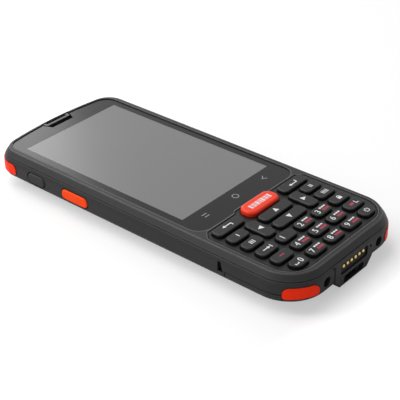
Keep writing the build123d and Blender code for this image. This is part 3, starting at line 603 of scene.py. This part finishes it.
# %% Cover glass
DISPLAY_HALF_WIDTH = 0.02592
DISPLAY_LOW_Y = -0.0199
DISPLAY_HIGH_Y = 0.0665
BORDER_INK = (0.006, 0.006, 0.0065)
DISPLAY_OFF = (0.190, 0.190, 0.190)
GLASS_IOR = 1.30
GLASS_ROUGHNESS = (0.19, 0.22)


def between(tree, value, low, high):
    """1 where a value lies between two numbers."""
    above = calculated(tree, "GREATER_THAN", value, low)
    below = calculated(tree, "LESS_THAN", value, high)
    return calculated(tree, "MULTIPLY", above, below)


def cover_glass():
    """Polished glass over a black border and a display that is off."""
    material, tree, shader = new_material("cover_glass")
    axes = place_axes(tree)
    across = between(tree, axes["X"], -DISPLAY_HALF_WIDTH, DISPLAY_HALF_WIDTH)
    along = between(tree, axes["Y"], DISPLAY_LOW_Y, DISPLAY_HIGH_Y)
    inside = calculated(tree, "MULTIPLY", across, along)
    colour = mixed_colour(tree, inside, BORDER_INK, DISPLAY_OFF)
    hands = use_group(tree, handling, Patches_per_Metre=30.0)
    feed(tree, shader.inputs["Base Color"], colour)
    feed(tree, shader.inputs["Roughness"], mapped(tree, hands.outputs["Mask"], *GLASS_ROUGHNESS))
    shader.inputs["IOR"].default_value = GLASS_IOR
    return material


dress(cover_glass(), "touch_glass")
print("display:", round(2 * DISPLAY_HALF_WIDTH * 1000, 1), "by",
      round((DISPLAY_HIGH_Y - DISPLAY_LOW_Y) * 1000, 1), "mm")

# %% [markdown]
# ## Metals
# The contacts are plated with gold and the screws with nickel. The socket is painted near black,
# as painted shade for the inside of its slot. A metal's colour is in its reflection, so these need
# little more than a base colour, full metallic and a roughness with some life in it.

# %% Metals
GOLD = (0.90, 0.62, 0.22)
NICKEL = (0.55, 0.54, 0.52)
# painted shade: the socket's dark grey stands in for the shade inside its slot
SOCKET_SHADE_GREY = (0.03, 0.03, 0.03)
PLATING_SHARE = 0.85              # darkest tone of a plating, as a share of its colour
PLATING_SPREAD = (-0.05, 0.08)    # how far its roughness strays


def plated(name, colour, roughness):
    """Plated metal, slightly uneven."""
    material, tree, shader = new_material(name)
    shader.inputs["Metallic"].default_value = 1.0
    grain = use_group(tree, mould_grain, Grains_per_Metre=9000.0)
    tone = grain.outputs["Tone"]
    uneven = [roughness + spread for spread in PLATING_SPREAD]
    feed(tree, shader.inputs["Base Color"],
         mixed_colour(tree, tone, scaled(colour, PLATING_SHARE), colour))
    feed(tree, shader.inputs["Roughness"], mapped(tree, tone, *uneven))
    return material


gold = plated("gold_plating", GOLD, 0.26)
nickel = plated("nickel_plating", NICKEL, 0.32)
socket_shade_metal = plated("socket_in_shade", SOCKET_SHADE_GREY, 0.45)

dress(gold, "charging_contacts")
dress(nickel, "case_screws", "cover_screw_left", "cover_screw_right")
dress(socket_shade_metal, "usb_socket")
print("metals:", [m.name for m in (gold, nickel, socket_shade_metal)])

# %% [markdown]
# ## Small parts
# Windows are dark tinted plastic, and the parts inside get plain working finishes: green lacquer
# on the boards, a printed film on the battery and bare silicone under the keys.

# %% Small parts
# The second colour of each pair is a painted highlight on corners that face up.
INSULATOR_BLACK, INSULATOR_HIGHLIGHT = (0.006, 0.005, 0.005), (0.02, 0.02, 0.02)
TRIM_GREY, TRIM_HIGHLIGHT = (0.045, 0.045, 0.046), (0.10, 0.10, 0.10)
WINDOW_TINT, WINDOW_HIGHLIGHT = (0.006, 0.002, 0.003), (0.02, 0.01, 0.01)
FLASH_CREAM, FLASH_HIGHLIGHT = (0.75, 0.68, 0.42), (0.8, 0.75, 0.5)
BOARD_GREEN, BOARD_HIGHLIGHT = (0.01, 0.10, 0.04), (0.20, 0.22, 0.12)
FILM_GREY, FILM_HIGHLIGHT = (0.035, 0.037, 0.042), (0.06, 0.06, 0.065)
SILICONE_GREY, SILICONE_HIGHLIGHT = (0.02, 0.02, 0.02), (0.03, 0.03, 0.03)

insulator = moulded("insulator_plastic", INSULATOR_BLACK, INSULATOR_HIGHLIGHT, 0.45, shine=0.12)
trim = moulded("earpiece_trim_plastic", TRIM_GREY, TRIM_HIGHLIGHT, 0.30, grains=8000, depth=0.000003)
window = moulded("tinted_window", WINDOW_TINT, WINDOW_HIGHLIGHT, 0.08, depth=0.0000005, polish=0.03)
flash = moulded("flash_lens", FLASH_CREAM, FLASH_HIGHLIGHT, 0.25, depth=0.000002)
board = moulded("board_lacquer", BOARD_GREEN, BOARD_HIGHLIGHT, 0.35, grains=2500)
film = moulded("battery_film", FILM_GREY, FILM_HIGHLIGHT, 0.38, grains=1200)
silicone = moulded("silicone_sheet", SILICONE_GREY, SILICONE_HIGHLIGHT, 0.70)

dress(insulator, "contact_block", "microphone", "loudspeaker", "earpiece_speaker",
      "vibration_motor", "side_switches", "scan_engine", "camera_module", "lcd_module")
dress(trim, "earpiece_trim")
dress(window, "scan_window", "camera_lens")
dress(flash, "flash_led")
dress(board, "main_board", "keypad_board")
dress(film, "battery_pack")
dress(silicone, "keypad_membrane")
undressed = [name for name, obj in nodes.items()
             if not obj.material_slots or not obj.material_slots[0].material]
print("nodes without a finish:", undressed)

# %% [markdown]
# ## Legends on the keys
# Key legends are printed with pads of soft silicone, about a hundredth of a millimetre thick.
# They could be drawn in a shader, but a thin mesh gives crisp edges at any distance and moves
# with its key. Each legend starts as a list of flat outlines, in millimetres about the middle of
# its key.

# %% Inks
INK_WHITE = (0.80, 0.80, 0.80)
INK_RED = (0.44, 0.040, 0.075)
INK_FAINT = (0.30, 0.30, 0.30)
WHITE, RED, FAINT = range(3)


def ink(name, colour, roughness=0.45):
    """Printed ink with a slightly broken tone."""
    return moulded(name, colour, colour, roughness, grains=9000, depth=0.000002, edge=0.00001)


inks = [ink("white_ink", INK_WHITE), ink("red_ink", INK_RED), ink("faint_ink", INK_FAINT, 0.3)]
print("inks:", [m.name for m in inks])

# %% Outlines
MM = 0.001
SAME_POINT_MM = 1e-6


def box_points(x, y, width, height):
    """Corners of a bar about its centre."""
    return [(x - width / 2, y - height / 2), (x + width / 2, y - height / 2),
            (x + width / 2, y + height / 2), (x - width / 2, y + height / 2)]


def ring_points(x, y, radius, start=0.0, sweep=360.0, steps=32):
    """Points along an arc about a centre, by angles in degrees."""
    angles = [math.radians(start + sweep * n / steps) for n in range(steps + 1)]
    return [(x + radius * math.cos(a), y + radius * math.sin(a)) for a in angles]


def mitre(before, here, after, width):
    """Half-width step from a line's point to its left edge, where two runs meet."""
    runs = [Vector(here) - Vector(before), Vector(after) - Vector(here)]
    sides = [Vector((-run.y, run.x)).normalized() for run in runs if run.length > 0]
    middle = (sides[0] + sides[-1]).normalized()
    return middle * (width / 2 / middle.dot(sides[0]))


def stroke(points, width):
    """Four-cornered pieces of a line of one width through some points, edge to edge."""
    closed = (Vector(points[0]) - Vector(points[-1])).length < SAME_POINT_MM
    first, last = (points[-2], points[1]) if closed else (points[0], points[-1])
    path = [first] + list(points) + [last]
    edges = []
    for before, here, after in zip(path, path[1:], path[2:]):
        step = mitre(before, here, after, width)
        edges.append((tuple(Vector(here) - step), tuple(Vector(here) + step)))
    return [[low, next_low, next_high, high]
            for (low, high), (next_low, next_high) in zip(edges, edges[1:])]


print("a ring takes", len(stroke(ring_points(0, 0, 1), 0.4)), "pieces")

# %% [markdown]
# Numbers come from Blender's own font. A text object gives their faces, and is then removed, so
# that all that is left of it is points.

# %% Numerals
DIGIT_SHARE = 0.70       # height of a digit, as a share of the font's size
NUMERAL_SWELL = 0.035    # makes the strokes bolder


def glyph_faces(text, height, x, y):
    """Faces of some numerals from the built-in font, centred at a point."""
    curve = bpy.data.curves.new("numeral", "FONT")
    curve.body = text
    curve.size = height / DIGIT_SHARE
    curve.align_x = "CENTER"
    curve.resolution_u = 6
    curve.offset = NUMERAL_SWELL
    holder = bpy.data.objects.new("numeral", curve)
    bpy.context.scene.collection.objects.link(holder)
    bpy.context.view_layer.update()
    mesh = bpy.data.meshes.new_from_object(holder)
    faces = [[(mesh.vertices[i].co.x + x, mesh.vertices[i].co.y + y - height / 2)
              for i in face.vertices] for face in mesh.polygons]
    bpy.data.objects.remove(holder)
    bpy.data.curves.remove(curve)
    bpy.data.meshes.remove(mesh)
    return faces


print("faces of a 5:", len(glyph_faces("5", 1.0, 0, 0)))

# %% [markdown]
# To print a legend, each outline becomes a face on the key's top and is raised by the thickness
# of the ink. The piece then rides on the body of its key, so it goes down when the key is
# pressed.

# %% Printed pieces
INK_THICKNESS = 0.015 * MM


def print_piece(name, faces, centre, top, body):
    """One thin printed piece: faces with their ink, about a centre, on a surface."""
    mesh = bpy.data.meshes.new(name)
    print_mesh = bmesh.new()
    for points, colour in faces:
        corners = [print_mesh.verts.new((centre.x + px * MM, centre.y + py * MM, top))
                   for px, py in points]
        face = print_mesh.faces.new(corners)
        face.material_index = colour
        face.normal_update()
        if face.normal.z < 0:
            face.normal_flip()
        raised = bmesh.ops.extrude_face_region(print_mesh, geom=[face])
        moved = [v for v in raised["geom"] if isinstance(v, bmesh.types.BMVert)]
        bmesh.ops.translate(print_mesh, verts=moved, vec=(0, 0, INK_THICKNESS))
    bmesh.ops.recalc_face_normals(print_mesh, faces=print_mesh.faces)
    print_mesh.to_mesh(mesh)
    print_mesh.free()
    piece = bpy.data.objects.new(name, mesh)
    bpy.context.scene.collection.objects.link(piece)
    for material in inks:
        mesh.materials.append(material)
    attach(piece, body)
    return piece


def key_print(key, faces):
    """Legend in the middle of a key's top, riding on the key."""
    low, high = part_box(key)
    name = "legend_" + key.removeprefix("key_")
    return print_piece(name, faces, (low + high) / 2, high.z, node_body[key])


print("ink is", round(INK_THICKNESS / MM, 3), "mm thick")

# %% [markdown]
# ## Numbers
# Each number key carries its numeral at the left. At the right, where such keypads print the
# key's second and third meanings, it has a row of three small white blocks over a row of red
# ones. The 1 has none, and the 0 has the mark of a space.

# %% Number legends
NUMERAL_HEIGHT = 2.5
NUMERAL_X = -2.3
ZERO_X = 1.2
BLOCK_X = (0.5, 1.75, 3.0)
WHITE_SHIFT = -0.2
WHITE_BLOCK = (0.95, 1.0, 0.75)    # place up the key, width and height
RED_BLOCK = (-0.65, 1.05, 1.15)
SPACE_MARK = [(-2.4, -0.3), (-2.4, -0.9), (-0.7, -0.9), (-0.7, -0.3)]
THIN_STROKE = 0.4


def white(outlines):
    """Outlines in white ink."""
    return [(points, WHITE) for points in outlines]


def number_legend(text, with_blocks=True):
    """A numeral, with the two rows of blocks beside it."""
    faces = white(glyph_faces(text, NUMERAL_HEIGHT, NUMERAL_X, 0))
    if with_blocks:
        for x in BLOCK_X:
            faces.append((box_points(x + WHITE_SHIFT, *WHITE_BLOCK), WHITE))
            faces.append((box_points(x, *RED_BLOCK), RED))
    return faces


numbers = [key_print(f"key_{n}", number_legend(str(n), with_blocks=n > 1)) for n in range(1, 10)]
zero = glyph_faces("0", NUMERAL_HEIGHT, ZERO_X, 0)
numbers.append(key_print("key_0", white(zero + stroke(SPACE_MARK, THIN_STROKE))))
print("numbers printed:", len(numbers))

# %% [markdown]
# ## Pictograms
# The cursor keys have solid arrows, and the wide keys a bent arrow for back and for enter. Words
# would do too, but a plain sign is read in any language.

# %% Arrows
ARROW = 1.35
ARROW_BACK, ARROW_SPREAD = 0.75, 0.85    # shares of its size
STROKE = 0.45
CURSOR_ANGLES = {"key_up": 90, "key_down": -90, "key_left": 180, "key_right": 0}


def arrow_points(angle, size=ARROW):
    """Solid arrowhead that points at an angle in degrees."""
    turn_by = math.radians(angle)
    shape = [(size, 0), (-size * ARROW_BACK, size * ARROW_SPREAD),
             (-size * ARROW_BACK, -size * ARROW_SPREAD)]
    return [(x * math.cos(turn_by) - y * math.sin(turn_by),
             x * math.sin(turn_by) + y * math.cos(turn_by)) for x, y in shape]


def moved_points(points, dx, dy):
    """The same points, moved."""
    return [(x + dx, y + dy) for x, y in points]


back = stroke([(2.0, -0.9), (2.0, 0.5), (-1.225, 0.5)], STROKE)
enter = stroke([(2.0, 1.0), (2.0, -0.5), (-1.225, -0.5)], STROKE)
tab = stroke([(-2.0, 0), (0.46, 0)], STROKE) + stroke([(2.4, -0.9), (2.4, 0.9)], STROKE)

arrows = {key: [arrow_points(angle)] for key, angle in CURSOR_ANGLES.items()}
arrows["key_back"] = back + [moved_points(arrow_points(180, 0.9), -1.9, 0.5)]
arrows["key_return"] = enter + [moved_points(arrow_points(180, 0.9), -1.9, -0.5)]
arrows["key_tab"] = tab + [moved_points(arrow_points(0, 0.85), 1.1, 0)]
for key, outlines in arrows.items():
    key_print(key, white(outlines))
print("arrows printed:", len(arrows))

# %% [markdown]
# The function keys count one to four bars. The other keys of the outer columns have a padlock, a
# dash, a block with a corner, and the ring and bar of a power key.

# %% Outer columns
TALLY_PITCH, TALLY_WIDTH, TALLY_HEIGHT = 0.9, 0.42, 1.9
SHACKLE_STROKE = 0.35
POWER_STROKE = 0.34



def tally(count):
    """Upright bars side by side, centred."""
    places = [TALLY_PITCH * (i - (count - 1) / 2) for i in range(count)]
    return [box_points(x, 0, TALLY_WIDTH, TALLY_HEIGHT) for x in places]


shackle = stroke(ring_points(0, 0.35, 0.6, 0, 180, 10), SHACKLE_STROKE)
corner = stroke([(1.0, 0.9), (1.0, -0.8), (2.2, -0.8)], THIN_STROKE)
ring = stroke(ring_points(0, 0, 1.0, 120, 300, 24), POWER_STROKE)
ring_bar = stroke([(0, 0.2), (0, 1.3)], POWER_STROKE)

signs = {f"key_function_{n}": white(tally(n)) for n in range(1, 5)}
signs["key_lock"] = white([box_points(0, -0.45, 2.0, 1.5)] + shackle)
signs["key_dash"] = [(box_points(0.2, 0.1, 2.6, 0.5), RED)]
signs["key_call"] = [(box_points(-1.2, 0, 2.2, 1.2), RED)] + white(corner)
signs["key_power"] = white(ring + ring_bar)
for key, faces in signs.items():
    key_print(key, faces)
print("signs printed:", len(signs))

# %% [markdown]
# The scan key has a row of bars of uneven width, like those that the terminal reads.

# %% Scan key
BAR_WIDTHS = (0.9, 0.35, 0.6, 0.35, 1.1, 0.35, 0.6, 0.9, 0.35, 0.6, 0.35, 0.9)
BAR_GAP = 0.42
BAR_HEIGHT = 2.5


def scan_bars():
    """Row of bars of uneven width, centred."""
    length = sum(BAR_WIDTHS) + BAR_GAP * (len(BAR_WIDTHS) - 1)
    x = -length / 2
    bars = []
    for width in BAR_WIDTHS:
        bars.append(box_points(x + width / 2, 0, width, BAR_HEIGHT))
        x += width + BAR_GAP
    return bars


key_print("key_scan", white(scan_bars()))
print("scan bars:", len(BAR_WIDTHS))

# %% [markdown]
# ## Touch keys under the glass
# Three faint marks below the display show where to touch for menu, home and back. On the real
# terminal they are printed on the inside of the glass. Here they lie on it, as thin as the key
# legends, because the glass is one opaque surface.

# %% Touch marks
TOUCH_MARK_Y = -0.0245
TOUCH_MARK_X = 0.0178

glass_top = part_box("touch_glass")[1].z
marks = {
    "menu": stroke([(-1.3, 0.8), (1.3, 0.8)], THIN_STROKE)
            + stroke([(-1.3, -0.8), (1.3, -0.8)], THIN_STROKE),
    "home": stroke(ring_points(0, 0, 1.3), THIN_STROKE),
    "back": stroke([(0.9, -1.2), (-0.9, 0), (0.9, 1.2)], THIN_STROKE),
}
for step, (label, pieces) in zip((-1, 0, 1), marks.items()):
    centre = Vector((step * TOUCH_MARK_X, TOUCH_MARK_Y, 0))
    print_piece("touch_mark_" + label, [(points, FAINT) for points in pieces], centre, glass_top,
                node_body["touch_glass"])
print("touch marks:", list(marks))
